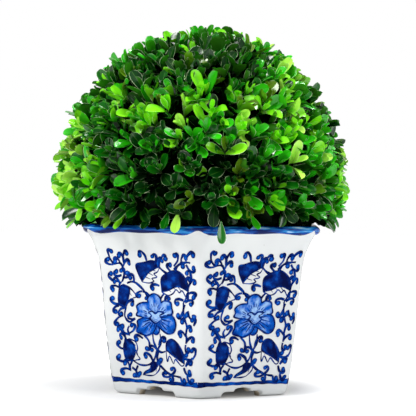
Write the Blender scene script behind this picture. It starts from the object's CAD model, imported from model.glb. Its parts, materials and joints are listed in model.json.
import json
import math

import bmesh
import bpy
import numpy as np
from mathutils import Matrix, Vector, noise

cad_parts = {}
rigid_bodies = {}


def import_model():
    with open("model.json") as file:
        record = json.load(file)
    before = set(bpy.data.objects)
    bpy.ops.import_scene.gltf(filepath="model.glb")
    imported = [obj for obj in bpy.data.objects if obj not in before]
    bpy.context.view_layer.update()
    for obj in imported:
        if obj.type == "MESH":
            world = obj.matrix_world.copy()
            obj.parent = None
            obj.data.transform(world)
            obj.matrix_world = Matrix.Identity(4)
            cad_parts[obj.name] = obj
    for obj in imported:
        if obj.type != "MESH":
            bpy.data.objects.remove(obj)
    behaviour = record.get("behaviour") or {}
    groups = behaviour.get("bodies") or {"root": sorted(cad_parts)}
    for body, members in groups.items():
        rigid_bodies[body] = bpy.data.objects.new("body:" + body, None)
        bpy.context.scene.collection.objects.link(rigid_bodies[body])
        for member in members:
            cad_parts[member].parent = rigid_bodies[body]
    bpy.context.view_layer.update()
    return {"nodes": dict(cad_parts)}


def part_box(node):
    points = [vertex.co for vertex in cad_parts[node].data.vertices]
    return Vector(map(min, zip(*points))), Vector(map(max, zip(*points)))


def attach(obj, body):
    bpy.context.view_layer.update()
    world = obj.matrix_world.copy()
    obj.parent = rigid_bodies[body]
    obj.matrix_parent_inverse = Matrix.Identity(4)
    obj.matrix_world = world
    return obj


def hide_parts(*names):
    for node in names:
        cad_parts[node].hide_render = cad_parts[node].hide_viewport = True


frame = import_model()
mm = 0.001
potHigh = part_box("pot")[1]
ballLow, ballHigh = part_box("foliage")
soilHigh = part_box("soil")[1]
stemLow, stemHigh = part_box("stem")
print("frame loaded:", sorted(frame["nodes"]))


def colour(red, green, blue):
    # a paint chip's 0 to 255 values, as the linear colour that shaders want
    def linear(value):
        value = value / 255
        return value / 12.92 if value <= 0.04045 else ((value + 0.055) / 1.055) ** 2.4
    return (linear(red), linear(green), linear(blue), 1.0)


def splineThrough(points, count):
    # evenly stepped Catmull-Rom curve through the given points
    points = np.asarray(points, float)
    last = len(points) - 1
    along = np.linspace(0, last, count)
    cell = np.minimum(along.astype(int), last - 1)
    t = (along - cell)[:, None]
    before = points[np.maximum(cell - 1, 0)]
    here, after = points[cell], points[cell + 1]
    beyond = points[np.minimum(cell + 2, last)]
    leave, arrive = (after - before) / 2, (beyond - here) / 2
    return ((2 * here - 2 * after + leave + arrive) * t ** 3
            + (-3 * here + 3 * after - 2 * leave - arrive) * t ** 2 + leave * t + here)


def ease(value, start, end):
    share = np.clip((value - start) / (end - start), 0, 1)
    return share * share * (3 - 2 * share)


def buildMesh(name, points, faces, materials, slots=None, smooth=True, waysOn=None):
    # points (n, 3) in metres, faces (m, 3 or 4) in point numbers, slots one material number per face
    points = np.asarray(points, np.float32)
    faces = np.asarray(faces, np.int32)
    mesh = bpy.data.meshes.new(name)
    mesh.vertices.add(len(points))
    mesh.vertices.foreach_set("co", points.ravel())
    mesh.loops.add(faces.size)
    mesh.loops.foreach_set("vertex_index", faces.ravel())
    mesh.polygons.add(len(faces))
    mesh.polygons.foreach_set("loop_start", np.arange(0, faces.size, faces.shape[1], dtype=np.int32))
    if slots is not None:
        mesh.polygons.foreach_set("material_index", np.asarray(slots, np.int32))
    mesh.polygons.foreach_set("use_smooth", np.full(len(faces), smooth))
    for key, values in (waysOn or {}).items():
        mesh.attributes.new(key, "FLOAT", "POINT").data.foreach_set("value", np.asarray(values, np.float32))
    mesh.update(calc_edges=True)
    for material in materials:
        mesh.materials.append(material)
    piece = bpy.data.objects.new(name, mesh)
    bpy.context.scene.collection.objects.link(piece)
    return piece


def weld(piece, distance=0.002 * mm):
    # joins points that fell together, such as those on the axis, and drops faces with no area
    work = bmesh.new()
    work.from_mesh(piece.data)
    bmesh.ops.remove_doubles(work, verts=work.verts, dist=distance)
    bmesh.ops.dissolve_degenerate(work, edges=work.edges, dist=distance)
    work.to_mesh(piece.data)
    work.free()
    return piece


def gridFaces(rows, columns, closed):
    # quads between neighbouring rows of a grid, round the back as well when it is closed
    row = np.arange(rows - 1)[:, None]
    column = np.arange(columns if closed else columns - 1)[None, :]
    nextColumn = (column + 1) % columns
    corners = [row * columns + column, row * columns + nextColumn,
               (row + 1) * columns + nextColumn, (row + 1) * columns + column]
    return np.stack([np.broadcast_to(c, (rows - 1, column.size)) for c in corners], -1).reshape(-1, 4)


def unit(vector):
    return vector / max(np.linalg.norm(vector), 1e-9)


class Board:
    # lays nodes out in one tree and joins them
    def __init__(self, tree):
        self.tree = tree
        self.step = 0

    def add(self, kind, settings=None, **inputs):
        node = self.tree.nodes.new(kind)
        node.location = (200 * (self.step % 6), -240 * (self.step // 6))
        self.step += 1
        for key, value in (settings or {}).items():
            setattr(node, key, value)
        for key, value in inputs.items():
            self.feed(node, key.replace("_", " "), value)
        return node

    def feed(self, node, socket, value):
        if isinstance(socket, str):
            matches = [entry for entry in node.inputs if entry.name == socket and entry.enabled]
            socket = matches[0]
        if isinstance(value, bpy.types.NodeSocket):
            self.tree.links.new(value, socket)
        else:
            socket.default_value = value

    def mixColour(self, factor, first, second):
        node = self.add("ShaderNodeMix", {"data_type": "RGBA"})
        for socket, value in zip((0, 6, 7), (factor, first, second)):
            self.feed(node, node.inputs[socket], value)
        return node.outputs[2]

    def maths(self, operation, *values):
        node = self.add("ShaderNodeMath", {"operation": operation})
        for socket, value in zip(node.inputs, values):
            self.feed(node, socket, value)
        return node.outputs[0]


view = {
    "distance": 1800 * mm,
    "eyeHeight": 194 * mm,
    "turn": 2.3,            # degrees the viewer stands to the right of the front corner
    "aimAside": 4.3 * mm,   # the plant stands a little left of the middle
    "aimHeight": 181 * mm,
    "roll": 0.55,           # degrees
    "lens": 155.8,
    "sensor": 36.0,
}


def placeCamera(look):
    turn = math.radians(look["turn"])
    right = Vector((math.cos(turn), math.sin(turn), 0))
    back = Vector((math.sin(turn), -math.cos(turn), 0))
    data = bpy.data.cameras.new("viewer")
    data.lens = look["lens"]
    data.sensor_width = look["sensor"]
    camera = bpy.data.objects.new("viewer", data)
    bpy.context.scene.collection.objects.link(camera)
    stand = right * look["aimAside"] + back * look["distance"] + Vector((0, 0, look["eyeHeight"]))
    aim = right * look["aimAside"] + Vector((0, 0, look["aimHeight"]))
    facing = (aim - stand).to_track_quat("-Z", "Y").to_matrix().to_4x4()
    roll = Matrix.Rotation(math.radians(look["roll"]), 4, "Z")
    camera.matrix_world = Matrix.Translation(stand) @ facing @ roll
    bpy.context.scene.camera = camera


lamps = {
    "window": {"at": (-1.35, -1.15, 1.5), "size": 0.8, "power": 32, "tone": (1.0, 1.0, 0.99)},
    "bounce": {"at": (1.6, -1.2, 1.0), "size": 1.0, "power": 13, "tone": (0.99, 1.0, 1.0)},
    "overhead": {"at": (0.35, -0.1, 1.9), "size": 0.7, "power": 37, "tone": (1.0, 1.0, 1.0)},
}
studio = {"backdrop": 1.0, "fill": 0.30, "floorTone": 0.77, "floorLift": 0.80, "floorSize": 14.0}


def placeLamps():
    aim = Vector((0, 0, 190 * mm))
    for name, lamp in lamps.items():
        data = bpy.data.lights.new(name, "AREA")
        data.shape = "DISK"
        data.size = lamp["size"]
        data.energy = lamp["power"]
        data.color = lamp["tone"]
        light = bpy.data.objects.new(name, data)
        light.location = lamp["at"]
        light.rotation_euler = (aim - Vector(lamp["at"])).to_track_quat("-Z", "Y").to_euler()
        bpy.context.scene.collection.objects.link(light)


def makeStudio():
    # white all round, a little dimmer as fill light than the backdrop looks
    world = bpy.data.worlds.new("studio")
    bpy.context.scene.world = world
    world.use_nodes = True
    nodes, links = world.node_tree.nodes, world.node_tree.links
    background = nodes["Background"]
    background.inputs["Color"].default_value = (1, 1, 1, 1)
    path = nodes.new("ShaderNodeLightPath")
    strength = nodes.new("ShaderNodeMapRange")
    strength.inputs["To Min"].default_value = studio["fill"]
    strength.inputs["To Max"].default_value = studio["backdrop"]
    links.new(path.outputs["Is Camera Ray"], strength.inputs["Value"])
    links.new(strength.outputs["Result"], background.inputs["Strength"])
    half = studio["floorSize"] / 2
    corners = [(-half, -half, 0), (half, -half, 0), (half, half, 0), (-half, half, 0)]
    paper = bpy.data.materials.new("floorPaper")
    paper.use_nodes = True
    shader = paper.node_tree.nodes["Principled BSDF"]
    tone = studio["floorTone"]
    shader.inputs["Base Color"].default_value = (tone, tone, tone, 1)
    shader.inputs["Roughness"].default_value = 0.9
    # away from the plant the paper is lit from behind as well, where the lamps don't reach
    shader.inputs["Emission Color"].default_value = (1, 1, 1, 1)
    board = Board(paper.node_tree)
    seen = board.add("ShaderNodeLightPath").outputs["Is Camera Ray"]
    place = board.add("ShaderNodeTexCoord").outputs["Object"]
    away = board.add("ShaderNodeVectorMath", {"operation": "LENGTH"})
    board.feed(away, away.inputs[0], place)
    lift = board.add("ShaderNodeMapRange", Value=away.outputs["Value"], From_Min=0.03, From_Max=0.27,
                     To_Min=0.0, To_Max=studio["floorLift"])
    board.feed(shader, "Emission Strength", board.maths("MULTIPLY", seen, lift.outputs[0]))
    floor = buildMesh("studio_floor", corners, [(0, 1, 2, 3)], [paper], smooth=False)
    bpy.context.scene.view_settings.view_transform = "Standard"


placeCamera(view)
placeLamps()
makeStudio()
print("camera, lamps and floor placed")


def newGroup(name, inputs, outputs):
    group = bpy.data.node_groups.new(name, "ShaderNodeTree")
    kinds = {"number": "NodeSocketFloat", "colour": "NodeSocketColor", "vector": "NodeSocketVector"}
    for label, (kind, value) in inputs.items():
        socket = group.interface.new_socket(name=label, in_out="INPUT", socket_type=kinds[kind])
        socket.default_value = value
    for label, kind in outputs.items():
        group.interface.new_socket(name=label, in_out="OUTPUT", socket_type=kinds[kind])
    board = Board(group)
    return group, board, board.add("NodeGroupInput"), board.add("NodeGroupOutput")


def stretchedPlace(board, stretch):
    # places on the object, drawn out along each axis so that grain runs one way
    place = board.add("ShaderNodeTexCoord").outputs["Object"]
    drawn = board.add("ShaderNodeVectorMath", {"operation": "MULTIPLY"})
    board.feed(drawn, drawn.inputs[0], place)
    board.feed(drawn, drawn.inputs[1], stretch)
    return drawn.outputs[0]


def makeGlazeGroup():
    # slow pooling of the glaze, fine orange peel, and a few pinholes
    group, board, given, result = newGroup(
        "glazeSkin",
        {"Pool Size": ("number", 30.0), "Peel Size": ("number", 400.0), "Pinholes": ("number", 0.5),
         "Gloss": ("number", 0.08)},
        {"Pooling": "number", "Roughness": "number", "Height": "number", "Specks": "number"})
    place = board.add("ShaderNodeTexCoord").outputs["Object"]
    pooling = board.add("ShaderNodeTexNoise", Vector=place, Scale=given.outputs["Pool Size"], Detail=2.0)
    peel = board.add("ShaderNodeTexNoise", Vector=place, Scale=given.outputs["Peel Size"], Detail=1.0)
    cells = board.add("ShaderNodeTexVoronoi", Vector=place, Scale=260.0)
    pin = board.add("ShaderNodeMapRange", Value=cells.outputs["Distance"], From_Min=0.05, From_Max=0.16,
                    To_Min=1.0, To_Max=0.0)
    chosen = board.add("ShaderNodeSeparateColor", Color=cells.outputs["Color"])
    rare = board.maths("GREATER_THAN", chosen.outputs[0], 0.93)
    holes = board.maths("MULTIPLY", pin.outputs[0], rare)
    holes = board.maths("MULTIPLY", holes, given.outputs["Pinholes"])
    slow = board.maths("MULTIPLY", pooling.outputs[0], 0.8)
    fine = board.maths("MULTIPLY", peel.outputs[0], 0.06)
    height = board.maths("SUBTRACT", board.maths("ADD", slow, fine), holes)
    rough = board.maths("MULTIPLY_ADD", pooling.outputs[0], 0.06, given.outputs["Gloss"])
    board.feed(result, "Pooling", pooling.outputs[0])
    board.feed(result, "Roughness", rough)
    board.feed(result, "Height", height)
    board.feed(result, "Specks", holes)
    return group


def makeGritGroup():
    # crumbs and grains, for bare clay, soil and bark
    group, board, given, result = newGroup(
        "gritGrain",
        {"Grain Size": ("number", 300.0), "Blotch Size": ("number", 40.0),
         "Stretch": ("vector", (1, 1, 1))},
        {"Grain": "number", "Blotch": "number", "Height": "number"})
    place = stretchedPlace(board, given.outputs["Stretch"])
    grain = board.add("ShaderNodeTexNoise", Vector=place, Scale=given.outputs["Grain Size"],
                      Detail=5.0, Roughness=0.65)
    blotch = board.add("ShaderNodeTexNoise", Vector=place, Scale=given.outputs["Blotch Size"], Detail=3.0)
    height = board.maths("MULTIPLY_ADD", blotch.outputs[0], 0.5, grain.outputs[0])
    board.feed(result, "Grain", grain.outputs[0])
    board.feed(result, "Blotch", blotch.outputs[0])
    board.feed(result, "Height", height)
    return group


glazeSkin = makeGlazeGroup()
gritGrain = makeGritGroup()


def newMaterial(name):
    material = bpy.data.materials.new(name)
    material.use_nodes = True
    board = Board(material.node_tree)
    return material, board, material.node_tree.nodes["Principled BSDF"]


def placeGroup(board, group, **inputs):
    return board.add("ShaderNodeGroup", {"node_tree": group}, **inputs)


def bumpFrom(board, shader, height, strength, distance):
    bump = board.add("ShaderNodeBump", Strength=strength, Distance=distance, Height=height)
    board.feed(shader, "Normal", bump.outputs[0])


glazes = {
    "white": {"tone": colour(234, 236, 235), "pooled": colour(216, 219, 221),
              "speck": colour(150, 150, 145)},
    "lip": {"deep": colour(0, 22, 84), "thick": colour(0, 66, 158), "thin": colour(44, 140, 214),
            "pale": colour(196, 226, 242), "bands": (0.3, 0.3, 2.2)},
    "brush": {"pale": colour(156, 192, 236), "mid": colour(10, 92, 198), "dark": colour(0, 42, 126),
              "black": colour(0, 10, 66)},
    "clay": {"tone": colour(226, 216, 198), "dark": colour(190, 174, 148)},
    "shine": 0.13,
    "blueShine": 0.03,
    "lipShine": 0.14,
}


def toneRamp(board, amount, stops):
    # stops are (place, tone) from the first to the last
    ramp = board.add("ShaderNodeValToRGB", Fac=amount)
    tones = ramp.color_ramp.elements
    for element, (place, tone) in zip((tones[0], tones[1]), (stops[0], stops[-1])):
        element.color = tone
        element.position = place
    for place, tone in stops[1:-1]:
        tones.new(place).color = tone
    return ramp.outputs[0]


def finishGlaze(board, shader, skin, tone, shine, bump):
    board.feed(shader, "Base Color", tone)
    board.feed(shader, "Roughness", skin.outputs["Roughness"])
    shader.inputs["Specular IOR Level"].default_value = shine
    bumpFrom(board, shader, skin.outputs["Height"], *bump)


def makeWhiteGlaze():
    material, board, shader = newMaterial("whiteGlaze")
    skin = placeGroup(board, glazeSkin, Pool_Size=22.0, Peel_Size=420.0, Pinholes=0.6, Gloss=0.06)
    body = board.mixColour(skin.outputs["Pooling"], glazes["white"]["tone"], glazes["white"]["pooled"])
    speckled = board.mixColour(skin.outputs["Specks"], body, glazes["white"]["speck"])
    finishGlaze(board, shader, skin, speckled, glazes["shine"], (0.25, 0.6 * mm))
    return material


def makeLipGlaze():
    # blue that ran along the rolled edge in bands, and breaks pale where it is thin
    material, board, shader = newMaterial("lipGlaze")
    skin = placeGroup(board, glazeSkin, Pool_Size=60.0, Peel_Size=500.0, Pinholes=0.2, Gloss=0.05)
    thin = board.add("ShaderNodeAttribute", {"attribute_name": "thinGlaze"}).outputs["Fac"]
    place = stretchedPlace(board, glazes["lip"]["bands"])
    bands = board.add("ShaderNodeTexNoise", Vector=place, Scale=150.0, Detail=3.0)
    amount = board.maths("MULTIPLY_ADD", bands.outputs[0], 2.2, -0.66)
    amount = board.maths("ADD", amount, board.maths("MULTIPLY", thin, 0.22))
    stops = [(place, glazes["lip"][key])
             for place, key in ((0.22, "deep"), (0.46, "thick"), (0.76, "thin"), (0.96, "pale"))]
    finishGlaze(board, shader, skin, toneRamp(board, amount, stops), glazes["lipShine"], (0.2, 0.8 * mm))
    return material


def makeBrushBlue():
    # cobalt wash: pale where the brush was wet, nearly black where it was loaded
    material, board, shader = newMaterial("brushBlue")
    skin = placeGroup(board, glazeSkin, Pool_Size=22.0, Peel_Size=420.0, Pinholes=0.3, Gloss=0.06)
    load = board.add("ShaderNodeAttribute", {"attribute_name": "load"}).outputs["Fac"]
    place = board.add("ShaderNodeTexCoord").outputs["Object"]
    wash = board.add("ShaderNodeTexNoise", Vector=place, Scale=170.0, Detail=4.0, Roughness=0.6)
    amount = board.maths("ADD", load, board.maths("MULTIPLY_ADD", wash.outputs[0], 0.9, -0.45))
    stops = [(place, glazes["brush"][key])
             for place, key in ((0.08, "pale"), (0.38, "mid"), (0.68, "dark"), (0.95, "black"))]
    finishGlaze(board, shader, skin, toneRamp(board, amount, stops), glazes["blueShine"], (0.25, 0.6 * mm))
    return material


def makeBareClay():
    material, board, shader = newMaterial("bareClay")
    grit = placeGroup(board, gritGrain, Grain_Size=700.0, Blotch_Size=60.0)
    tone = board.mixColour(grit.outputs["Blotch"], glazes["clay"]["tone"], glazes["clay"]["dark"])
    board.feed(shader, "Base Color", tone)
    shader.inputs["Roughness"].default_value = 0.85
    bumpFrom(board, shader, grit.outputs["Height"], 0.35, 0.3 * mm)
    return material


pot = {
    "cornerRound": 12 * mm,
    "innerRound": 7 * mm,
    "wall": 6.5 * mm,
    "bodyCurve": [(83.2, 0), (84.2, 4.6), (84.9, 7), (88.8, 30), (93, 68), (96.4, 106), (99.7, 132),
                  (104.7, 145), (110.4, 155.7), (113, 160)],   # half width, height
    "footFlat": (71.5 * mm, 77 * mm),
    "footRing": 71 * mm,
    "footTop": 4.6 * mm,
    "recess": 11 * mm,
    "floorAbove": 19 * mm,
    "lipMiddle": 109.8 * mm,
    "lipHalfThickness": 4.1 * mm,
    "lipDepths": [(0, 7.7), (0.34, 7.0), (0.74, 9.0), (1, 4.4)],
    "lipDeepest": 9.3 * mm,
    "lipSwell": 1.4 * mm,
    "gapHalfWidth": 21.5 * mm,
    "gapEnd": 17 * mm,
    "shoulder": 5.3 * mm,
    "archHalfWidth": 8.6 * mm,
    "arch": 9.3 * mm,
    "rowStep": 2.2 * mm,
    "wobble": 0.25 * mm,   # how far a cast wall strays from true
}
sides = 6
sideAngle = 2 * math.pi / sides
cornerSlope = math.tan(sideAngle / 2)
bodyLine = splineThrough(np.array(pot["bodyCurve"]) * mm, 400)


def bodyHalfWidth(height):
    return np.interp(height, bodyLine[:, 1], bodyLine[:, 0])


def makeStations():
    # places round one side: close together at the ends of the foot gap, then round the corner
    footStraight = (80 * mm - pot["cornerRound"]) * cornerSlope
    edges = np.array([21.9, 21.5, 21, 20, 18.6, 17, 15, 9.4, 8.9, 8.6, 8.2, 7.4, 6, 4, 2])
    edges = edges * mm / footStraight
    flats = np.unique(np.round(np.concatenate([np.linspace(-1, 1, 25), edges, -edges]), 4))
    turns = np.linspace(0, 1, 11)[1:-1]
    flat = np.concatenate([flats, np.ones(len(turns))])
    turn = np.concatenate([np.zeros(len(flats)), turns])
    side = np.repeat(np.arange(sides), len(flat))
    return side, np.tile(flat, sides), np.tile(turn, sides)


ringSide, ringFlat, ringTurn = makeStations()


def ringPlace(halfWidth, rounding, side=ringSide, flat=ringFlat, turn=ringTurn):
    # points of a rounded hexagon in plan, all round
    halfWidth = np.broadcast_to(halfWidth, side.shape)
    rounding = np.minimum(rounding, halfWidth)
    straight = (halfWidth - rounding) * cornerSlope
    across = halfWidth - rounding + rounding * np.cos(turn * sideAngle)
    along = flat * straight + rounding * np.sin(turn * sideAngle)
    facing = side * sideAngle
    return np.stack([across * np.cos(facing) - along * np.sin(facing),
                     across * np.sin(facing) + along * np.cos(facing)], -1)


def wayToCorner(plan):
    turn = np.arctan2(plan[:, 1], plan[:, 0]) / sideAngle
    return np.tan(np.abs(turn - np.round(turn)) * sideAngle) / cornerSlope


def lipDepth(way):
    depth = np.zeros_like(way)
    for (fromWay, fromDepth), (toWay, toDepth) in zip(pot["lipDepths"], pot["lipDepths"][1:]):
        inside = (way >= fromWay) & (way <= toWay + 1e-6)
        depth[inside] = fromDepth + (toDepth - fromDepth) * ease(way[inside], fromWay, toWay)
    return depth * mm


def footLift(along):
    # how high the lower edge stands over the ground: rounded foot ends, shoulders and an arch
    along = np.abs(along)
    endShare = np.clip((pot["gapHalfWidth"] - along) / (pot["gapHalfWidth"] - pot["gapEnd"]), 0, 1)
    lift = pot["shoulder"] * np.sqrt(1 - (1 - endShare) ** 2)
    archShare = np.clip(1 - (along / pot["archHalfWidth"]) ** 2, 0, 1)
    return lift + (pot["arch"] - pot["shoulder"]) * archShare ** 0.4


def stray(points, size=0.03, seed=3.0):
    # slow wander of a cast wall, the same for the wall and the paint on it
    scaled = np.asarray(points) / size
    return np.array([noise.noise(Vector(p) + Vector((seed, 0, 0))) for p in scaled]) * pot["wobble"]


def outward(points):
    flatOut = points * np.array([1, 1, 0])
    return flatOut / np.maximum(np.linalg.norm(flatOut, axis=1), 1e-9)[:, None]


def makePotBody():
    plan = ringPlace(bodyHalfWidth(50 * mm), pot["cornerRound"])
    way = wayToCorner(plan)
    depth = lipDepth(way)
    swell = pot["lipSwell"] * np.sin(math.pi * ease(way, 0.4, 1))
    footAlong = ringFlat * (80 * mm - pot["cornerRound"]) * cornerSlope + ringTurn * 0.2
    lift = footLift(footAlong)
    top = potHigh.z
    rows, slots, thin = [], [], []

    def addRow(halfWidth, height, rounding, slot, thinness=0.0, strays=False):
        xy = ringPlace(halfWidth, rounding)
        points = np.column_stack([xy, np.broadcast_to(height, len(xy))])
        if strays:
            points = points + outward(points) * stray(points)[:, None]
        rows.append(points)
        slots.append(slot)
        thin.append(np.full(len(xy), thinness))

    white, lip, clay = 0, 1, 2
    inner, outer = pot["footFlat"]
    addRow(0, pot["recess"], pot["innerRound"], clay)
    addRow(40 * mm, pot["recess"], pot["innerRound"], clay)
    addRow(pot["footRing"] - 2 * mm, pot["recess"], pot["innerRound"], clay)
    addRow(pot["footRing"], pot["recess"] - 0.9 * mm, pot["innerRound"], clay)
    addRow(pot["footRing"], lift + 0.8 * mm, pot["innerRound"], clay)
    addRow(inner, lift, pot["innerRound"], clay)
    for share in (0.0, 0.2, 0.4, 0.6, 0.8, 1.0):
        angle = share * math.pi / 2
        height = pot["footTop"] * (1 - math.cos(angle))
        halfWidth = outer + (bodyHalfWidth(pot["footTop"]) - outer) * math.sin(angle)
        raised = height + lift * (1 - height / (14 * mm))
        width = halfWidth + bodyHalfWidth(raised) - bodyHalfWidth(height)
        addRow(width, raised, pot["cornerRound"], clay if share < 0.2 else white)
    lipFoot = top - pot["lipDeepest"]
    heights = np.arange(pot["footTop"] + pot["rowStep"], lipFoot, pot["rowStep"])
    for height in np.append(heights, lipFoot):
        settle = 1 - ease(height, 5 * mm, 14 * mm)
        raised = height + lift * settle * (1 - height / (14 * mm))
        raised = raised + (pot["lipDeepest"] - depth) * ease(height, 138 * mm, lipFoot)
        addRow(bodyHalfWidth(height) + (bodyHalfWidth(raised) - bodyHalfWidth(height)) * (height < 20 * mm),
               raised, pot["cornerRound"], white, strays=True)
    slots[-1] = lip
    for share in np.linspace(-0.35, 1, 24):
        angle = share * math.pi
        bulge = math.cos(angle)
        halfWidth = pot["lipMiddle"] + pot["lipHalfThickness"] * bulge + swell * max(0, bulge)
        height = top - depth / 2 + depth / 2 * math.sin(angle)
        paleness = 1.05 * math.exp(-((share - 0.25) / 0.085) ** 2)
        addRow(halfWidth, height, pot["cornerRound"], lip, paleness)
    for height in (152, 145, 132, 106, 68, 40, 28):
        addRow(bodyHalfWidth(height * mm) - pot["wall"], height * mm, pot["innerRound"], white)
    slots[-8] = white
    bottom = bodyHalfWidth(28 * mm) - pot["wall"]
    addRow(bottom - 2 * mm, 22 * mm, pot["innerRound"], white)
    addRow(bottom - 8 * mm, pot["floorAbove"], pot["innerRound"], white)
    addRow(0, pot["floorAbove"], pot["innerRound"], white)
    faceSlots = np.repeat(np.array(slots[:-1]), len(ringSide))
    materials = [makeWhiteGlaze(), makeLipGlaze(), makeBareClay()]
    body = buildMesh("pot_body", np.concatenate(rows), gridFaces(len(rows), len(ringSide), True), materials,
                     faceSlots, waysOn={"thinGlaze": np.concatenate(thin)})
    weld(body)
    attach(body, "root")
    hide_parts("pot")
    return body


potBody = makePotBody()
print("planter body:", len(potBody.data.polygons), "faces")


# every face carries one pattern: places are (across, height) in millimetres from the middle of
# the face, before the whole drawing is set aside and leant over a little
drawing = {
    "seed": 11,
    "aside": 0.6,
    "lean": 0.07,           # leans right by this much for every millimetre up
    "level": 80,            # height where the lean is nothing
    "step": 1.2,            # length of one bit of a brush stroke
    "coat": 0.10,           # thickness of the lowest layer of paint
    "coatStep": 0.0015,     # every later stroke lies this much higher
    "gather": (22, 0.94),   # past this far across, the drawing is drawn in by this much
    "hook": 2.2,            # radius of the hook round a dot
    "curlWidths": (1.9, 2.6, 2.9, 3.0, 2.5),
    "dotScale": 1.42,
    "band": {"height": 14.0, "middle": 3.2, "corner": 5.6},
    "tremble": 0.28,
}
# tendrils: from, to the dot, way round (1 or -1), size of the dot
curls = [
    ((-34.5, 110), (-35.5, 120), 1, 1.7), ((-35, 116), (-41.5, 119), -1, 1.8),
    ((-34, 114), (-28.5, 118.5), 1, 1.8), ((-36, 127), (-43, 129), 1, 1.8),
    ((-45, 126), (-52, 131), -1, 1.7), ((-45, 127), (-47, 139), -1, 1.8),
    ((-32, 126), (-38, 134.5), 1, 1.9), ((-32, 127), (-27, 137), -1, 1.8),
    ((-33, 124), (-26, 127.5), -1, 1.6), ((-5, 131), (-12, 136.5), 1, 2.0),
    ((3.5, 127), (2.5, 135), 1, 1.6), ((9, 125), (17, 133.5), -1, 1.9),
    ((8, 124), (12.5, 131), -1, 1.5), ((27, 120), (21.5, 127.5), -1, 1.8),
    ((26.5, 126), (28, 136.5), 1, 1.9), ((28, 121), (37, 126), -1, 1.9),
    ((35, 128), (41, 134), -1, 1.8), ((41, 131), (50, 137), -1, 1.8),
    ((41, 128), (49.5, 125.5), 1, 1.7), ((43, 103), (46, 113.5), -1, 1.8),
    ((45, 108), (42.5, 120), 1, 1.7), ((44, 101), (51, 111), -1, 1.6), ((43, 100), (50, 98), -1, 1.8),
    ((38, 94), (31, 91), 1, 1.8), ((38, 92), (32, 80), -1, 1.9), ((40, 92), (47, 91), -1, 1.7),
    ((40, 90), (43, 81), 1, 1.9), ((44, 84), (51, 79), 1, 1.7), ((51, 70), (49, 75), 1, 1.6),
    ((42, 61), (37, 74), 1, 2.0), ((42, 60), (35.5, 60.5), 1, 1.7), ((42, 62), (47.5, 66.5), -1, 1.8),
    ((42, 53), (50, 56), -1, 1.7), ((42, 52), (45.5, 48), 1, 1.6), ((50, 38), (49.5, 47), 1, 1.7),
    ((49, 38), (43.5, 42), -1, 1.7), ((42, 31), (48, 33.5), -1, 1.8),
    ((-38, 110), (-48.5, 117), -1, 1.8), ((-37, 107), (-43.5, 109.5), 1, 1.6),
    ((-38, 104), (-45.5, 101.5), 1, 1.8), ((-37, 88), (-45.5, 93.5), -1, 1.9),
    ((-37, 86), (-41.5, 80.5), 1, 1.8), ((-29, 86), (-21.5, 88.5), -1, 1.8),
    ((-29, 85), (-34.5, 78), 1, 1.8), ((-32, 77), (-39, 68), 1, 1.9), ((-17, 75), (-23, 78), -1, 1.7),
    ((-24, 60), (-21, 68), 1, 1.7), ((-24, 59), (-32.5, 66.5), -1, 1.9),
    ((-28, 54), (-38, 62.5), 1, 1.8), ((-27, 52), (-34, 55.5), 1, 1.6),
    ((-27, 45), (-36.5, 51), -1, 1.8), ((-25, 34), (-37, 37), -1, 1.9),
    ((-24, 25), (-29.5, 30), 1, 1.8), ((-22, 24), (-32, 20.5), 1, 1.8), ((-21, 27), (-18, 20), -1, 1.7),
    ((-14, 29), (-11.5, 21.5), 1, 1.8), ((-9.5, 101), (-5, 95), -1, 1.6),
    ((-10, 101), (-13, 96.5), 1, 1.6), ((-20, 109), (-24, 114), 1, 1.6),
    ((10, 107), (2.5, 104), 1, 1.6), ((18, 89), (21, 95), -1, 1.5), ((-6.5, 59), (-3.5, 46.5), -1, 1.7),
    ((-8, 56), (-15, 54.5), 1, 1.8), ((10.5, 50), (16.5, 55), -1, 1.7), ((9, 45), (2.5, 45), 1, 1.5),
    ((10, 44), (13, 36), 1, 1.8), ((4, 34), (-5, 38.5), 1, 1.7), ((25, 22), (17.5, 24), -1, 1.7),
    ((24, 22), (25.5, 28), 1, 1.5), ((25, 22), (24, 17.5), -1, 1.5), ((36, 20), (40.5, 17.5), 1, 1.7),
    ((40, 30), (47, 26), 1, 1.8), ((44, 24), (49.5, 18.5), 1, 1.7),
]
# plain stalks through these places
stalks = [
    [(-34.5, 110), (-32, 118), (-36, 127), (-45, 126.5)],
    [(-28, 109), (-20, 110), (-9.5, 103), (-5, 98), (-2, 95)],
    [(8, 126), (14, 121), (20, 119), (28, 121)], [(15.5, 100), (13, 97.5), (10, 93)],
    [(43, 101), (41, 96), (38, 92)], [(26, 123), (33, 128), (41, 130), (46, 130)],
    [(-30, 86), (-36, 87), (-38, 90)],
    [(3, 61), (4.5, 53), (8, 46), (7.5, 42), (4, 34), (-3, 30), (-12, 30), (-20, 34)],
    [(11.5, 61), (12.5, 53), (9.5, 46), (13, 43.5), (18, 44.5)], [(-23.5, 58), (-26, 63), (-24, 67)],
    [(-20, 34), (-23, 29), (-23, 24)], [(42, 53), (43, 58), (42, 62)],
    [(8, 34), (16, 27), (25, 22), (36, 20)], [(42, 31), (47, 36), (50, 40)], [(43, 95), (44, 100)],
    [(-17, 75), (-24, 71), (-30, 76), (-29, 86)], [(-24, 46), (-29, 50), (-29, 55)],
    [(-36, 100), (-38, 106), (-35, 110)],
]
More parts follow.
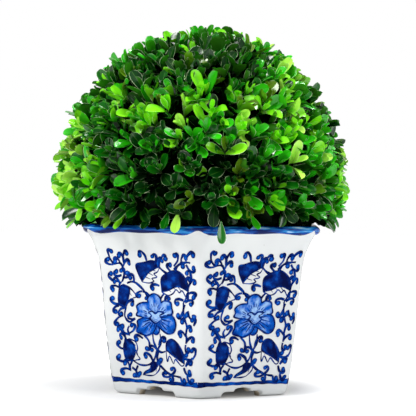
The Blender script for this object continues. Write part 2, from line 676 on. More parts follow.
# leaves: along the rib, round the painted half, round the open half
sprays = [
    ([(-10.5, 110.5), (-3, 119.5), (10, 126)],
     [(-15, 118.5), (-17.5, 126.5), (-11, 128.5), (-0.5, 131), (8, 129)],
     [(-2, 109.5), (3.5, 111.5), (1, 114), (7, 115.5), (3.5, 118.5), (7.5, 120.5)]),
    ([(13, 101.5), (22, 104), (31, 107), (43.5, 103)],
     [(11.5, 113.5), (16.5, 118.5), (26.5, 122), (36, 119.5), (43, 111)],
     [(20, 98.5), (25.5, 100), (29.5, 104), (33.5, 101), (37, 103), (41, 97.5)]),
    ([(-32.5, 107.5), (-25, 103.5), (-26, 94), (-30.5, 86)],
     [(-37.5, 104.5), (-38.5, 96.5), (-38.5, 90.5), (-35.5, 86.5)],
     [(-25, 105), (-19.5, 100), (-16.5, 95.5), (-20.5, 94), (-22.5, 91.5), (-27, 89.5)]),
    ([(-23.5, 55), (-19, 49.5), (-17, 41), (-20.5, 33)],
     [(-30, 51), (-31, 44), (-29.5, 36), (-24.5, 33)],
     [(-17, 52), (-14.5, 46.5), (-15.5, 41), (-11.5, 36), (-15.5, 34.5)]),
    ([(18.5, 45.5), (28, 40.5), (40.5, 33.5)], [(19, 53.5), (25.5, 56.5), (33, 51.5), (39.5, 43)],
     [(20, 34.5), (22.5, 40), (27.5, 33.5), (30, 37.5), (37, 31.5)]),
    ([(10.5, 32), (5, 26), (-8, 20)], [(5, 33.5), (1.5, 31), (0, 26.5), (-6, 23)],
     [(11, 27), (6, 21.5), (0, 20)]),
]
# petals: round the rim, how heavily painted
petals = [
    ([(-3, 87.5), (-3, 95.5), (3.5, 99.5), (10.5, 96.5), (12.5, 89)], 0.22),
    ([(-6.5, 76), (-15.5, 78), (-15, 82), (-16, 86.5), (-10.5, 90), (-2.5, 90.5)], 0.20),
    ([(12, 91), (16, 93), (23, 91.5), (24.5, 86.5), (25.5, 81), (19.5, 79)], 0.18),
    ([(11, 68.5), (10.5, 63), (7, 60.5), (3.5, 62.5), (2, 68.5)], 0.24),
    ([(7.5, 69), (4, 62.5), (-3, 59), (-9, 60), (-15.5, 62), (-14, 67.5), (-14.5, 73), (-6.5, 76)],
     0.26),
    ([(19.5, 80), (26, 78.5), (30, 71), (28, 63.5), (22, 61.5), (15, 64.5), (8.5, 68.5)], 0.24),
]
flowerMiddle = (6.5, 76.5)
flowerHeart = [(-2.5, 81), (1.5, 78.5), (0, 75.5), (6.5, 71), (14, 75), (11, 78.5), (15.5, 81.5),
               (10, 82.5), (6, 80.5), (2, 82.5), (-2.5, 81)]
paintRng = np.random.default_rng(drawing["seed"])


class PaintPile:
    # strokes laid flat as rows of points across the brush, each with a load of paint
    def __init__(self):
        self.points, self.loads, self.coats, self.faces = [], [], [], []
        self.count, self.strokes = 0, 0

    def lay(self, grid, load, closed=False):
        rows, columns = grid.shape[:2]
        self.points.append(grid.reshape(-1, 2))
        self.loads.append(np.broadcast_to(load, (rows, columns)).ravel())
        height = drawing["coat"] + drawing["coatStep"] * self.strokes
        self.coats.append(np.full(rows * columns, height))
        self.faces.append(gridFaces(rows, columns, closed) + self.count)
        self.count += rows * columns
        self.strokes += 1


def brushStroke(pile, points, widths, load):
    # a line of changing width, darker along both edges where the wash pools
    points = np.asarray(points, float)
    length = np.linalg.norm(np.diff(points, axis=0), axis=1).sum()
    steps = max(4, int(length / drawing["step"]) + 1)
    path = splineThrough(points, steps) if len(points) < 12 else points
    steps = len(path)
    heading = np.gradient(path, axis=0)
    heading /= np.maximum(np.linalg.norm(heading, axis=1), 1e-6)[:, None]
    left = np.column_stack([-heading[:, 1], heading[:, 0]])
    share = np.linspace(0, 1, steps)
    width = np.interp(share, np.linspace(0, 1, len(widths)), widths) / 2
    width = width * (1 + 0.16 * np.sin(share * length * 0.55 + paintRng.uniform(0, 6)))
    columns = np.array([1, 0, -1])
    grid = path[:, None] + left[:, None] * (width[:, None] * columns)[..., None]
    dryness = 0.12 * np.sin(share * length * 0.35 + paintRng.uniform(0, 6))
    pile.lay(grid, load + dryness[:, None] + np.array([0.08, -0.05, 0.08]))


def paintDot(pile, at, radius, load):
    angle = np.linspace(0, 2 * math.pi, 14, endpoint=False)
    uneven = 1 + 0.13 * np.sin(angle + paintRng.uniform(0, 6))
    uneven = uneven + 0.07 * np.sin(2 * angle + paintRng.uniform(0, 6))
    rim = np.column_stack([np.cos(angle), np.sin(angle)]) * (radius * uneven)[:, None]
    grid = np.stack([np.asarray(at) + rim * 0.02, np.asarray(at) + rim * 0.55, np.asarray(at) + rim])
    pile.lay(grid, load + np.array([-0.34, -0.16, 0.12])[:, None], closed=True)


def paintCurl(pile, start, dot, way, size):
    # a tendril that swings out to one side of its dot, hooks round and ends in it
    start, dot = np.array(start, float), np.array(dot, float)
    heading = dot - start
    reach = np.linalg.norm(heading)
    heading = heading / reach
    hook = min(drawing["hook"], reach * 0.40)
    aim = math.atan2(heading[1], heading[0])
    enter = aim - way * math.radians(100)
    leave = enter + way * math.radians(190)
    middle = dot - hook * 0.8 * np.array([math.cos(leave), math.sin(leave)])
    turns = np.linspace(enter, leave, 9)
    closing = np.linspace(1, 0.80, 9)
    circle = middle + hook * closing[:, None] * np.column_stack([np.cos(turns), np.sin(turns)])
    side = np.array([-heading[1], heading[0]])
    mid = (start + circle[0]) / 2 - side * way * reach * 0.13
    lead = splineThrough([start, mid, circle[0]], 7)[:-1]
    brushStroke(pile, np.vstack([lead, circle]), drawing["curlWidths"], 0.76)
    paintDot(pile, dot, size * drawing["dotScale"], 0.74)


def paintLeaf(pile, rib, painted, opened):
    # one half washed in dark and uneven, the other half only drawn round
    spine = splineThrough(rib, 26)
    edge = splineThrough([rib[0], *painted, rib[-1]], 26)
    across = np.linspace(0, 1, 8)
    along = np.linspace(0, 1, 26)[:, None]
    shift = paintRng.uniform(0, 6)
    wash = 0.80 + 0.20 * np.sin(along * 8 + shift) * np.sin(across * 3 + 0.5)
    wash = wash + 0.10 * np.abs(across - 0.5) - 0.12 * np.sin(along * 17 + across * 5 + shift)
    pile.lay(spine[:, None] + (edge - spine)[:, None] * across[:, None], wash)
    brushStroke(pile, splineThrough([rib[0], *opened, rib[-1]], 30), [1.0, 1.5, 1.1, 1.5, 0.9], 0.74)
    for place, end in zip((0.3, 0.5, 0.7), opened[1::2]):
        start = spine[int(place * 25)]
        brushStroke(pile, [start, start + (np.array(end) - start) * 0.6], [0.9, 0.5], 0.68)
    brushStroke(pile, spine, [1.1, 1.8, 1.5, 1.0], 0.80)
    brushStroke(pile, edge, [1.0, 1.4, 1.3, 0.9], 0.82)


def paintPetal(pile, outline, load):
    # wash that thins towards the heart, veins and an outline
    middle = np.array(flowerMiddle)
    rim = splineThrough(outline, 27)
    shares = np.linspace(0.12, 1, 7)
    grid = middle + (rim - middle) * shares[:, None, None]
    around = np.linspace(0, 1, 27)
    low = rim[:, 1].mean() < middle[1]
    wash = load - 0.02 + 0.22 * shares[:, None] ** 3
    wash = wash + 0.12 * np.sin(around * 16) * shares[:, None] + 0.08 * low
    pile.lay(grid, wash)
    for place in (4, 8, 12, 16, 20, 24):
        reach = (0.30, 0.52, 0.74) if low else (0.46, 0.56, 0.64)
        vein = [middle + (rim[place] - middle) * share for share in reach]
        brushStroke(pile, vein, [1.4, 1.1, 0.5] if low else [0.9, 1.2, 0.5], 0.74 if low else 0.62)
    brushStroke(pile, rim, [1.2, 1.8, 1.4, 1.8, 1.2], 0.80)


def paintHeart(pile, outline):
    middle = np.array(flowerMiddle)
    rim = splineThrough(outline, 41)
    shares = np.array([0.05, 0.5, 1.0])
    grid = (middle + (rim - middle) * shares[:, None, None])[:, :-1]
    pile.lay(grid, np.array([0.02, 0.08, 0.16])[:, None], closed=True)
    brushStroke(pile, rim, [1.4, 2.0, 1.5, 2.0, 1.4], 0.76)
    for share in (0.42, 0.68):
        line = middle + (rim[6:20] - middle) * share
        brushStroke(pile, line, [0.4, 0.9, 0.4], 0.45)


def paintFace():
    pile = PaintPile()
    for spray in sprays:
        paintLeaf(pile, *spray)
    for points in stalks:
        brushStroke(pile, points, [1.6, 2.5, 2.2, 1.7], 0.78)
    for start, dot, way, size in curls:
        paintCurl(pile, start, dot, way, size)
    for petal in petals:
        paintPetal(pile, *petal)
    paintHeart(pile, flowerHeart)
    points = np.concatenate(pile.points)
    start, share = drawing["gather"]
    past = np.maximum(np.abs(points[:, 0]) - start, 0)
    points[:, 0] -= np.sign(points[:, 0]) * past * (1 - share)
    points[:, 0] += drawing["aside"] + drawing["lean"] * (points[:, 1] - drawing["level"])
    return points, np.concatenate(pile.loads), np.concatenate(pile.coats), np.concatenate(pile.faces)


def glazePlace(side, along, height, coat):
    # lays (along, height) round the face and its rounded corner, a coat's thickness proud
    halfWidth, rounding = bodyHalfWidth(height), pot["cornerRound"]
    straight = (halfWidth - rounding) * cornerSlope
    turn = np.clip(np.abs(along) - straight, 0, None) / rounding * np.sign(along)
    across = halfWidth - rounding + rounding * np.cos(turn)
    aside = np.clip(along, -straight, straight) + rounding * np.sin(turn)
    facing = side * sideAngle
    points = np.column_stack([across * np.cos(facing) - aside * np.sin(facing),
                              across * np.sin(facing) + aside * np.cos(facing), height])
    normal = np.column_stack([np.cos(facing + turn), np.sin(facing + turn), np.zeros(len(turn))])
    return points + outward(points) * stray(points)[:, None] + normal * coat[:, None]


def bandFace():
    # the blue line round the foot, heavier towards the corners
    band = drawing["band"]
    along = np.linspace(-1, 1, 57)
    reach = (bodyHalfWidth(band["height"] * mm) - pot["cornerRound"]) * cornerSlope \
        + pot["cornerRound"] * sideAngle / 2
    thick = band["middle"] + (band["corner"] - band["middle"]) * np.abs(along) ** 3
    rows = []
    for share in (-1, -0.6, 0, 0.6, 1):
        waver = 0.25 * np.sin(along * 23 + share * 2) * share
        rows.append(np.column_stack([along * reach / mm, band["height"] + share * thick / 2 + waver]))
    load = 0.72 + 0.16 * np.sin(along * 5)[None] + np.array([0.12, -0.04, -0.08, -0.04, 0.12])[:, None]
    return np.concatenate(rows), load.ravel(), gridFaces(5, 57, False)


def paintPot():
    points, loads, coats, faces = paintFace()
    bandPoints, bandLoads, bandFaces = bandFace()
    allPoints, allLoads, allFaces, count = [], [], [], 0
    for side in range(sides):
        shake = np.array([[noise.noise(Vector((x / 9, z / 9, side + k * 7.3))) for k in (1, 2)]
                          for x, z in points]) * drawing["tremble"] * 2
        moved = (points + shake) * mm
        face = glazePlace(side, moved[:, 0], moved[:, 1], coats * mm)
        bandCoat = np.full(len(bandPoints), drawing["coat"] * mm)
        strip = glazePlace(side, bandPoints[:, 0] * mm, bandPoints[:, 1] * mm, bandCoat)
        allPoints += [face, strip]
        allLoads += [loads, bandLoads]
        allFaces += [faces + count, bandFaces + count + len(face)]
        count += len(face) + len(strip)
    painting = buildMesh("pot_painting", np.concatenate(allPoints), np.concatenate(allFaces),
                         [makeBrushBlue()], waysOn={"load": np.concatenate(allLoads)})
    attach(painting, "root")
    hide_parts("pot")
    return painting


painting = paintPot()
print("painting:", len(painting.data.polygons), "faces")


growth = {
    "seed": 20,
    "boughs": 11,
    "boughReach": 0.40,     # share of the ball's radius
    "twigs": 96,
    "twigReach": 0.70,
    "sprigs": 590,
    "sprigReach": 0.865,
    "lowest": -0.27,        # height on the ball, as a share of its radius, of the lowest outer sprigs
    "underSprigs": 120,
    "lumps": 90,
    "lumpHeight": 0.034,
    "lumpSize": 0.22,
    "clipped": [(-0.3, 1.015), (0.1, 1.0), (0.35, 0.985), (0.6, 0.985), (0.85, 1.005), (1, 1.01)],
    "sunnySide": 0.34,      # more young growth towards the sides
    "tonedUp": -0.04,
    "shadedMiddle": 0.55,   # older growth in the middle of the front
    "sag": (167, 5),        # millimetres: lowest leaf tips over the lip, and how much lower beside it
}
rng = np.random.default_rng(growth["seed"])
ballRadius = (ballHigh.x - ballLow.x) / 2 * 0.99
ballCentre = np.array([-2.5 * mm, 0, ballHigh.z - ballRadius - 2 * mm])


def spreadDirections(count, lowest, jitter):
    # a spiral of even spacing over the ball, each place nudged
    index = np.arange(count) + 0.5
    height = 1 - (1 - lowest) * index / count
    angle = index * math.pi * (3 - math.sqrt(5))
    across = np.sqrt(1 - height ** 2)
    places = np.column_stack([across * np.cos(angle), across * np.sin(angle), height])
    places += rng.normal(0, jitter, places.shape)
    return places / np.linalg.norm(places, axis=1)[:, None]


lumpPlaces = spreadDirections(growth["lumps"], -0.5, 0.15)
lumpHeights = rng.uniform(-0.6, 1, growth["lumps"]) * growth["lumpHeight"]


def clipLine(directions):
    # how far out the shears and the growth since then leave the sprigs, as a share of the radius
    cosine = np.clip(directions @ lumpPlaces.T, -1, 1)
    away = np.arccos(cosine) / growth["lumpSize"]
    weight = np.exp(-away ** 2)
    return 1 + (weight @ lumpHeights) / np.maximum(weight.sum(1), 0.6)


def bend(start, leave, end, arrive, steps):
    # a smooth limb from one point and direction to another
    reach = np.linalg.norm(end - start) / 3
    controls = [start, start + leave * reach, end - arrive * reach, end]
    t = np.linspace(0, 1, steps)[:, None]
    return ((1 - t) ** 3 * controls[0] + 3 * t * (1 - t) ** 2 * controls[1]
            + 3 * t ** 2 * (1 - t) * controls[2] + t ** 3 * controls[3])


def tubePoints(path, radii, around, ripple=0.0):
    # rings round a path, their start line carried along without twisting
    tangents = np.gradient(path, axis=0)
    tangents /= np.linalg.norm(tangents, axis=1)[:, None]
    side = unit(np.cross(tangents[0], [0.3, 0.8, 0.52]))
    rings = []
    angles = np.linspace(0, 2 * math.pi, around, endpoint=False)
    for point, tangent, radius in zip(path, tangents, radii):
        side = unit(side - tangent * (side @ tangent))
        other = np.cross(tangent, side)
        reach = radius * (1 + ripple * np.sin(3 * angles + point[2] * 90))
        spokes = np.cos(angles)[:, None] * side + np.sin(angles)[:, None] * other
        rings.append(point + reach[:, None] * spokes)
    return np.concatenate(rings)


class LimbPile:
    # many limbs of one kind, joined as one mesh
    def __init__(self):
        self.points, self.faces, self.count = [], [], 0

    def add(self, path, radii, around, ripple=0.0):
        points = tubePoints(path, radii, around, ripple)
        faces = gridFaces(len(path), around, True) + self.count
        tip = self.count + len(points)
        last = self.count + (len(path) - 1) * around + np.arange(around)
        cap = np.column_stack([last, np.roll(last, -1), np.full(around, tip), np.full(around, tip)])
        self.points.append(np.vstack([points, path[-1] + (path[-1] - path[-2]) * 0.15]))
        self.faces.append(np.vstack([faces, cap]))
        self.count += len(points) + 1

    def build(self, name, material, slot):
        piece = buildMesh(name, np.concatenate(self.points), np.concatenate(self.faces), [material])
        weld(piece, 0.0005 * mm)
        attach(piece, "root")
        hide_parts("foliage")
        return piece


barks = {
    "old": {"light": colour(150, 132, 104), "dark": colour(66, 50, 36)},
    "young": {"light": colour(70, 92, 34), "dark": colour(34, 44, 18)},
    "soil": {"light": colour(96, 74, 54), "dark": colour(36, 26, 18)},
}


def makeBark(name, tones, stretch):
    material, board, shader = newMaterial(name)
    grit = placeGroup(board, gritGrain, Grain_Size=420.0, Blotch_Size=90.0, Stretch=stretch)
    board.feed(shader, "Base Color", board.mixColour(grit.outputs["Grain"], tones["dark"], tones["light"]))
    shader.inputs["Roughness"].default_value = 0.8
    bumpFrom(board, shader, grit.outputs["Height"], 0.6, 0.5 * mm)
    return material


def growLimbs():
    # the stem feeds boughs, boughs feed twigs and twigs feed the sprigs nearest to them
    fork = np.array([(stemLow.x + stemHigh.x) / 2, (stemLow.y + stemHigh.y) / 2, stemHigh.z - 4 * mm])
    boughEnds = spreadDirections(growth["boughs"], -0.45, 0.12)
    twigEnds = spreadDirections(growth["twigs"], -0.42, 0.07)
    sprigEnds = spreadDirections(growth["sprigs"], growth["lowest"], 0.032)
    boughs, twigs = LimbPile(), LimbPile()
    boughPaths, twigPaths, sprigs = [], [], []
    for direction in boughEnds:
        start = fork - np.array([0, 0, rng.uniform(0, 26) * mm * (direction[2] < 0.5)])
        end = ballCentre + direction * ballRadius * growth["boughReach"] * rng.uniform(0.9, 1.1)
        leave = unit(np.array([0, 0, 0.8]) + direction)
        path = bend(start, leave, end, unit(direction + rng.normal(0, 0.15, 3)), 12)
        boughs.add(path, np.linspace(5.0, 2.9, 12) * mm, 10, 0.05)
        boughPaths.append(path)
    for direction in twigEnds:
        parent = boughPaths[int(np.argmax(boughEnds @ direction))]
        joint = rng.integers(6, 12)
        end = ballCentre + direction * ballRadius * growth["twigReach"] * rng.uniform(0.93, 1.07)
        leave = unit(parent[joint] - parent[joint - 1] + direction * 0.7)
        path = bend(parent[joint], leave, end, unit(direction + rng.normal(0, 0.2, 3)), 9)
        twigs.add(path, np.linspace(2.4, 1.3, 9) * mm, 6)
        twigPaths.append(path)
    reach = clipLine(sprigEnds)
    reach = reach * np.interp(sprigEnds[:, 2], *np.array(growth["clipped"]).T)
    for direction, share in zip(sprigEnds, reach):
        parent = twigPaths[int(np.argmax(twigEnds @ direction))]
        joint = rng.integers(4, 9)
        outTo = growth["sprigReach"] * share - abs(rng.normal(0, 0.024)) + 0.012
        end = ballCentre + direction * ballRadius * outTo
        lean = np.array([0, 0, 0.56 - 0.40 * abs(direction[2])]) + rng.normal(0, 0.22, 3)
        arrive = unit(direction + lean)
        leave = unit(parent[joint] - parent[joint - 1] + direction * 0.5)
        sprigs.append({"path": bend(parent[joint], leave, end, arrive, 8), "out": direction, "pairs": 6})
    for index in range(growth["underSprigs"]):
        # short sprays that close the underside over the planter's mouth
        angle = index * math.pi * (3 - math.sqrt(5))
        across = ballRadius * (0.40 + 0.38 * math.sqrt((index + 0.5) / growth["underSprigs"]))
        end = np.array([across * math.cos(angle), across * math.sin(angle),
                        ballLow.z + rng.uniform(9, 17) * mm])
        out = unit(np.array([math.cos(angle), math.sin(angle), -0.55]))
        parent = twigPaths[int(np.argmax(twigEnds @ unit(end - ballCentre)))]
        joint = rng.integers(3, 8)
        path = bend(parent[joint], unit(out + [0, 0, 0.3]), end, out, 8)
        sprigs.append({"path": path, "out": out, "pairs": 4})
    for sprig in sprigs:
        twigs.add(sprig["path"], np.linspace(1.0, 0.55, 8) * mm, 5)
    boughs.build("boughs", makeBark("oldBark", barks["old"], (1, 1, 0.35)), "bark")
    twigs.build("twigs", makeBark("youngBark", barks["young"], (1, 1, 0.6)), "bark")
    return sprigs


stemForm = {
    "rows": 46,
    "around": 48,
    "foot": 13.2 * mm,
    "base": 8.4 * mm,
    "top": 6.0 * mm,
    "flare": 5.6 * mm,
    "buttresses": (5, 0.13, 0.6),
    "lean": (5 * mm, -2 * mm),
    "relief": 0.5 * mm,
}


def makeStem():
    # furrowed bark from the root flare up to the fork
    rise = np.linspace(0, 1, stemForm["rows"])[:, None] ** 1.3
    angle = np.linspace(0, 2 * math.pi, stemForm["around"], endpoint=False)[None]
    height = stemLow.z + (stemHigh.z - stemLow.z) * rise
    flare = (stemForm["foot"] - stemForm["base"]) * np.exp((stemLow.z - height) / stemForm["flare"])
    radius = stemForm["base"] + (stemForm["top"] - stemForm["base"]) * rise + flare
    count, depth, turn = stemForm["buttresses"]
    reach = radius * (1 + depth * np.cos(count * angle + turn) * (1 - rise) ** 3)
    x = reach * np.cos(angle) + stemForm["lean"][0] * rise
    y = reach * np.sin(angle) + stemForm["lean"][1] * rise ** 2
    points = np.stack([x, y, np.broadcast_to(height, x.shape)], -1).reshape(-1, 3)
    rough = np.array([noise.noise(Vector((p[0] * 420, p[1] * 420, p[2] * 90))) for p in points])
    points = points + outward(points) * (np.minimum(rough, 0.1) * stemForm["relief"])[:, None]
    stem = buildMesh("stem_bark", points, gridFaces(stemForm["rows"], stemForm["around"], True),
                     [makeBark("stemBark", barks["old"], (1, 1, 0.3))])
    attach(stem, "root")
    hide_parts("stem")


soilForm = {"crumb": 1.6 * mm, "crumbSize": 0.006, "gap": 1.9 * mm}


def makeSoil():
    # crumbly top, and sides that keep just clear of the planter's wall
    shares = np.concatenate([np.linspace(0.02, 0.97, 30), [1.0]])
    rows = []
    for height in np.linspace(28, 140, 8):
        halfWidth = bodyHalfWidth(height * mm) - pot["wall"] - soilForm["gap"]
        xy = ringPlace(halfWidth, pot["innerRound"])
        rows.append(np.column_stack([xy, np.full(len(xy), height * mm)]))
    rim = bodyHalfWidth(soilHigh.z) - pot["wall"] - soilForm["gap"]
    for share in shares[::-1]:
        xy = ringPlace(rim * share, pot["innerRound"] * share)
        crumbs = np.array([noise.noise(Vector((x, y, 0)) / soilForm["crumbSize"]) for x, y in xy])
        sink = soilForm["crumb"] * (0.9 - 0.8 * crumbs) * ease(1 - share, 0, 0.05)
        rows.append(np.column_stack([xy, soilHigh.z - np.maximum(sink, 0)]))
    base = rows[0] * np.array([0, 0, 1])
    grid = np.concatenate([base, *rows])
    soil = buildMesh("soil_mix", grid, gridFaces(len(rows) + 1, len(ringSide), True),
                     [makeBark("soilGrit", barks["soil"], (1, 1, 1))])
    weld(soil)
    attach(soil, "root")
    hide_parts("soil")


makeStem()
makeSoil()
print("stem and soil made")
sprigs = growLimbs()
print("limbs grown:", len(sprigs), "sprigs")


leafShape = {
    "length": 25.5 * mm,
    "width": 12.8 * mm,
    "stations": [0, 0.12, 0.32, 0.54, 0.74, 0.89, 0.97, 1.0],
    "widths": [0.10, 0.26, 0.62, 0.90, 1.0, 0.84, 0.54, 0.20],
    "margin": 0.925,         # where the pale edge starts, as a share of the half width
    "rib": 0.05,
    "thickness": 0.35 * mm,
}
# cup of the blade, how far the tip curls (up when positive), and how slim it is
leafForms = [(0.16, -0.06, 1.0), (0.30, 0.05, 0.84), (0.42, -0.12, 0.92), (0.22, 0.14, 0.78),
             (0.12, -0.18, 0.96)]
leafTints = {
    "shade": colour(1, 16, 2),
    "deep": colour(0, 56, 5),
    "mid": colour(2, 102, 4),
    "fresh": colour(40, 182, 10),
    "bright": colour(136, 236, 30),
    "young": colour(188, 250, 88),
    "olive": colour(92, 132, 12),
}
leafTrim = {
    "margin": (colour(210, 236, 184), 0.78),    # pale edge, and how far the blade's tone goes over to it
    "rib": (colour(120, 190, 70), 0.20),
    "under": (colour(84, 178, 30), 0.30),
}
leafFinish = {"roughness": 0.30, "shine": 0.15, "coat": 0.80, "coatRoughness": 0.14}


def makeLeafMaterial(name, tone, roughness):
    material, _, shader = newMaterial(name)
    shine = leafFinish["shine"] * (0.3 if "shade" in name else 1)
    shader.inputs["Base Color"].default_value = tone
    shader.inputs["Roughness"].default_value = roughness
    shader.inputs["Specular IOR Level"].default_value = shine
    shader.inputs["Coat Weight"].default_value = leafFinish["coat"] * ("shade" not in name)
    shader.inputs["Coat Roughness"].default_value = leafFinish["coatRoughness"]
    return material


def makeLeafForm(cup, curl, slimness):
    # one leaf, one unit long: x to the tip, y across, z up; top in five strips, underside in two
    ratio = slimness * leafShape["width"] / leafShape["length"] / 2
    stations = np.array(leafShape["stations"])
    widths = np.array(leafShape["widths"]) * ratio
    margin, rib = leafShape["margin"], leafShape["rib"]
    columns = np.array([-1, -margin, -rib, rib, margin, 1])
    rise = curl * stations ** 2

    def fold(width, column):
        # the halves stand up from the midrib and level out towards the edge
        return cup * width * (0.9 * abs(column) + 0.7 * column ** 2)

    top = np.array([(x, w * c, lift + fold(w, c) - (0.012 if abs(c) < 0.5 else 0))
                    for x, w, lift in zip(stations, widths, rise) for c in columns])
    down = leafShape["thickness"] / leafShape["length"]
    under = np.array([(x, w * c, lift + fold(w, c) - down * (1 - abs(c)) - 0.012 * (c == 0))
                      for x, w, lift in zip(stations, widths, rise) for c in (-1, 0, 1)])
    topFaces = gridFaces(len(stations), 6, False)
    underFaces = gridFaces(len(stations), 3, False)[:, ::-1] + len(top)
    strip = np.tile(np.array([1, 0, 2, 0, 1]), len(stations) - 1)
    slots = np.concatenate([strip, np.full(len(underFaces), 3)])
    return np.vstack([top, under]), np.vstack([topFaces, underFaces])[:, ::-1], slots


def makePlainForm(cup, curl, slimness):
    # the leaf of the dark inside, without its margin and rib
    shape, quads, strips = makeLeafForm(cup, curl, slimness)
    rows = len(leafShape["stations"])
    columns = [0, 2, 3, 5]
    kept = np.array([row * 6 + column for row in range(rows) for column in columns])
    return shape[kept], gridFaces(rows, 4, False)[:, ::-1], np.zeros(3 * (rows - 1), int)


def alongPath(path, fromTip):
    # point and heading at a distance back from a limb's tip
    steps = np.linalg.norm(np.diff(path[::-1], axis=0), axis=1)
    travelled = np.concatenate([[0], np.cumsum(steps)])
    spot = np.array([np.interp(fromTip, travelled, path[::-1][:, k]) for k in range(3)])
    cell = min(int(np.searchsorted(travelled, fromTip)), len(path) - 2)
    return spot, unit(path[::-1][cell] - path[::-1][cell + 1])


def tintOf(out):
    # sprays of one age grow together: slow drifts over the ball with some chance in each spray
    drift = noise.noise(Vector(out) * 1.9 + Vector((4.2, 1.3, 7.7))) * 1.6
    drift += noise.noise(Vector(out) * 5.2 + Vector((9.1, 3.3, 2.4))) * 0.9
    drift += rng.normal(0, 0.46) + growth["sunnySide"] * abs(out[0] + 0.3) + growth["tonedUp"]
    drift -= growth["shadedMiddle"] * max(-out[1], 0) ** 3
    steps = ["deep", "mid", "fresh", "bright", "young"]
    level = int(np.clip(np.digitize(drift, [-0.45, 0.08, 0.52, 0.98]), 0, 4))
    return "olive" if rng.random() < 0.07 else steps[level]


leaves = {key: [] for key in leafTints}
# down a sprig, pair by pair: size of its leaves, how far they open, and the way to the next pair
pairSizes = (0.62, 0.92, 1.06, 1.02, 0.95, 0.9)
pairOpenings = (15, 30, 42, 50, 56, 60)
pairSteps = (4.5, 6.5, 8, 8.5, 9, 9)
olderTint = {"young": "bright", "bright": "fresh", "fresh": "mid", "mid": "deep"}
shadeReach = 0.90           # the shaded leaves keep inside this share of the ball's radius
shortestLeaf = 9 * mm


def holdUp(spot, heading, length):
    # the lip holds leaves up: turns a leaf that would hang past it
    tip = spot + heading * length
    height, lower = growth["sag"]
    limit = height - lower * ease(abs(tip[0]), 105 * mm, 140 * mm) + rng.normal(0, 1.4)
    if rng.random() < 0.10:
        limit -= rng.uniform(0, 5)
    short = limit * mm - tip[2]
    return unit(heading + np.array([0, 0, short / length])) if short > 0 else heading


def addLeaf(tint, spot, heading, facing, length, form=None):
    facing = unit(facing - heading * (facing @ heading))
    if form is None:
        form = rng.integers(len(leafForms))
    leaves[tint].append((spot, heading, facing, length, form))


def dressSprig(sprig):
    # opposite pairs, each crossing the one before, opening wider and growing darker down the sprig
    tint = tintOf(sprig["out"])
    tints = list(leafTints)
    start = rng.uniform(0, math.pi)
    distance = 0.0
    vigour = rng.uniform(0.84, 1.12)
    for pair in range(sprig["pairs"]):
        spot, axis = alongPath(sprig["path"], distance)
        across = unit(np.cross(axis, [0.2, 0.1, 0.97]))
        other = np.cross(axis, across)
        size = vigour * leafShape["length"] * pairSizes[pair]
        opening = math.radians(pairOpenings[pair] + rng.normal(0, 7))
        pairTint = tint
        if pair > 1:
            pairTint = olderTint.get(tint, "shade")
        if pair > 2 or sprig["pairs"] < 5:
            pairTint = "deep" if rng.random() < 0.2 else "shade"
        elif rng.random() < 0.12:
            pairTint = tints[rng.integers(1, 5)]
        for turn in (0, math.pi):
            angle = start + pair * math.pi / 2 + turn + rng.normal(0, 0.16)
            sideways = math.cos(angle) * across + math.sin(angle) * other
            tilt = opening + rng.normal(0, 0.13)
            heading = unit(math.cos(tilt) * axis + math.sin(tilt) * sideways)
            facing = axis * 0.85 + sprig["out"] * 0.45 + np.array([0, 0, 0.30]) + rng.normal(0, 0.12, 3)
            long = size * rng.uniform(0.88, 1.08)
            if pairTint == "shade":
                past = np.linalg.norm(spot + heading * long - ballCentre) - shadeReach * ballRadius
                long = long - max(past, 0) * 0.9
            if long < shortestLeaf:
                continue
            addLeaf(pairTint, spot, holdUp(spot, heading, long), facing, long)
        distance += pairSteps[pair] * mm


# single leaves that hang over the lip: degrees round, radius, height, droop, size, tint
hanging = [
    (-80.5, 132, 170, 1.40, 0.86, "mid"), (-98.5, 126, 178, 1.05, 0.95, "young"),
    (-103, 125, 178, 0.95, 0.85, "mid"), (-126, 119, 177, 0.95, 0.85, "bright"),
    (-132, 121, 178, 1.05, 0.80, "young"), (-112, 120, 176, 0.85, 0.85, "deep"),
    (-66, 122, 176, 0.85, 0.80, "fresh"), (20, 125, 178, 1.0, 0.9, "mid"),
    (75, 123, 177, 0.9, 0.9, "fresh"), (140, 125, 178, 1.0, 0.9, "mid"),
    (200, 124, 177, 0.95, 0.9, "bright"),
]


def addStrays():
    for degrees, radius, height, droop, size, tint in hanging:
        angle = math.radians(degrees)
        out = np.array([math.cos(angle), math.sin(angle), 0])
        spot = out * radius * mm + np.array([0, 0, height * mm])
        heading = unit(out * math.cos(droop) + np.array([0, 0, -math.sin(droop)]))
        addLeaf(tint, spot, heading, out * 0.8 + np.array([0, 0, 0.6]), leafShape["length"] * size, 3)


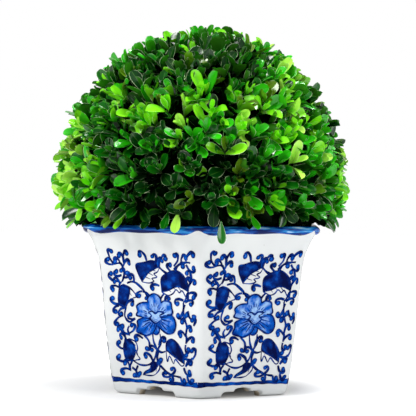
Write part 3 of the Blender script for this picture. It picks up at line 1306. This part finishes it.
def inWall(points):
    # which points are inside the planter's wall or its lip
    facing = np.arange(sides) * sideAngle
    reach = (points[:, :1] * np.cos(facing) + points[:, 1:2] * np.sin(facing)).max(axis=1)
    height = points[:, 2]
    half = lipDepth(wayToCorner(points[:, :2])) / 2
    thick = pot["lipHalfThickness"] + pot["lipSwell"] / 2
    lip = ((reach - pot["lipMiddle"]) / thick) ** 2 + ((height - potHigh.z) / half + 1) ** 2 < 1
    wall = bodyHalfWidth(height)
    return lip | ((height < potHigh.z - half) & (reach < wall) & (reach > wall - pot["wall"]))


def buildLeaves():
    fullForms = [makeLeafForm(*form) for form in leafForms]
    plainForms = [makePlainForm(*form) for form in leafForms]
    total = 0
    for tint, dealt in leaves.items():
        materials = [makeLeafMaterial("leaf_" + tint, leafTints[tint], leafFinish["roughness"])]
        for part, (pale, share) in leafTrim.items():
            share = share * (0.35 if tint == "shade" else 1)
            tone = [own + (other - own) * share for own, other in zip(leafTints[tint], pale)]
            materials.append(makeLeafMaterial("leaf_" + tint + "_" + part, tone, 0.45))
        points, faces, slots, count, kept = [], [], [], 0, 0
        forms = plainForms if tint == "shade" else fullForms
        for number, (shape, quads, strips) in enumerate(forms):
            chosen = [leaf for leaf in dealt if leaf[4] == number]
            if not chosen:
                continue
            spot, heading, facing = (np.array([leaf[k] for leaf in chosen]) for k in range(3))
            length = np.array([leaf[3] for leaf in chosen])
            across = np.cross(facing, heading)
            placed = (shape[None, :, 0:1] * heading[:, None] + shape[None, :, 1:2] * across[:, None]
                      + shape[None, :, 2:3] * facing[:, None]) * length[:, None, None] + spot[:, None]
            blocked = inWall(placed.reshape(-1, 3)).reshape(len(placed), -1).any(axis=1)
            placed = placed[~blocked]
            starts = count + np.arange(len(placed)) * len(shape)
            points.append(placed.reshape(-1, 3))
            faces.append((quads[None] + starts[:, None, None]).reshape(-1, 4))
            slots.append(np.tile(strips, len(placed)))
            count += placed.shape[0] * placed.shape[1]
            kept += len(placed)
        piece = buildMesh("leaves_" + tint, np.concatenate(points), np.concatenate(faces),
                          materials, np.concatenate(slots))
        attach(piece, "root")
        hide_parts("foliage")
        total += kept
        print("leaves", tint, kept, "with", 2 * len(piece.data.polygons), "triangles")
    return total


for sprig in sprigs:
    dressSprig(sprig)
addStrays()
print("leaves in all:", buildLeaves())
